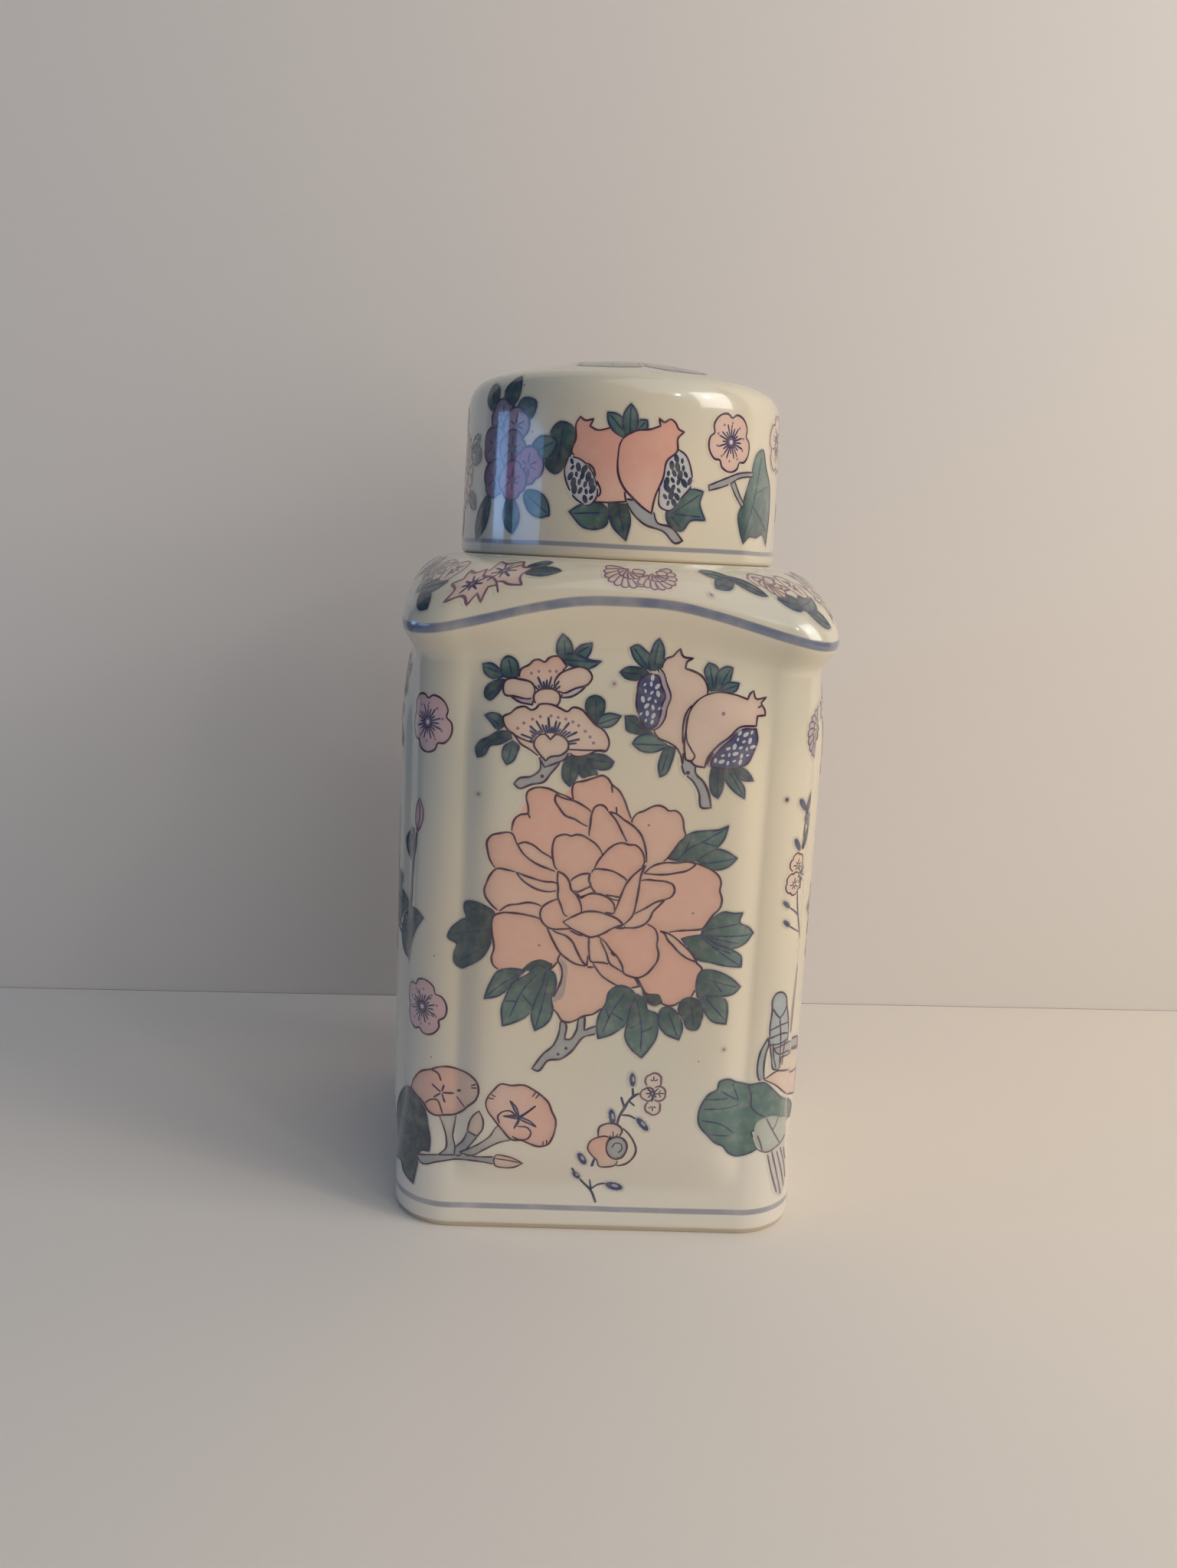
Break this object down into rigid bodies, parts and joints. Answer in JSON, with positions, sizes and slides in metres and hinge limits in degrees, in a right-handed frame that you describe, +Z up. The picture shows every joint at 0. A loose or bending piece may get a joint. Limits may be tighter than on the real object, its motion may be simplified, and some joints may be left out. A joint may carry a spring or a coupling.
{
  "type": "lidded porcelain jar",
  "caption": "Square glazed porcelain jar with raised panels, a wavy overhanging shoulder and a round cap lid that lifts off a hidden neck.",
  "frame": {"origin": "on the table, under the middle of the jar's foot", "axes": "+Z up through the jar and lid, -Y out of the pictured face, +X to that face's right"},
  "size_m": [0.1094, 0.1094, 0.22],
  "materials": {
    "glazed_porcelain": "glossy cream-white glaze with painted flowers and blue bands"
  },
  "bodies": {
    "jar": {"jar": "glazed_porcelain"},
    "lid": {"lid": "glazed_porcelain"}
  },
  "joints": [
    {"name": "lid_lift", "type": "slide", "parent": "jar", "child": "lid", "axis": [0, 0, 1], "range_m": [0, 0.06]}
  ]
}
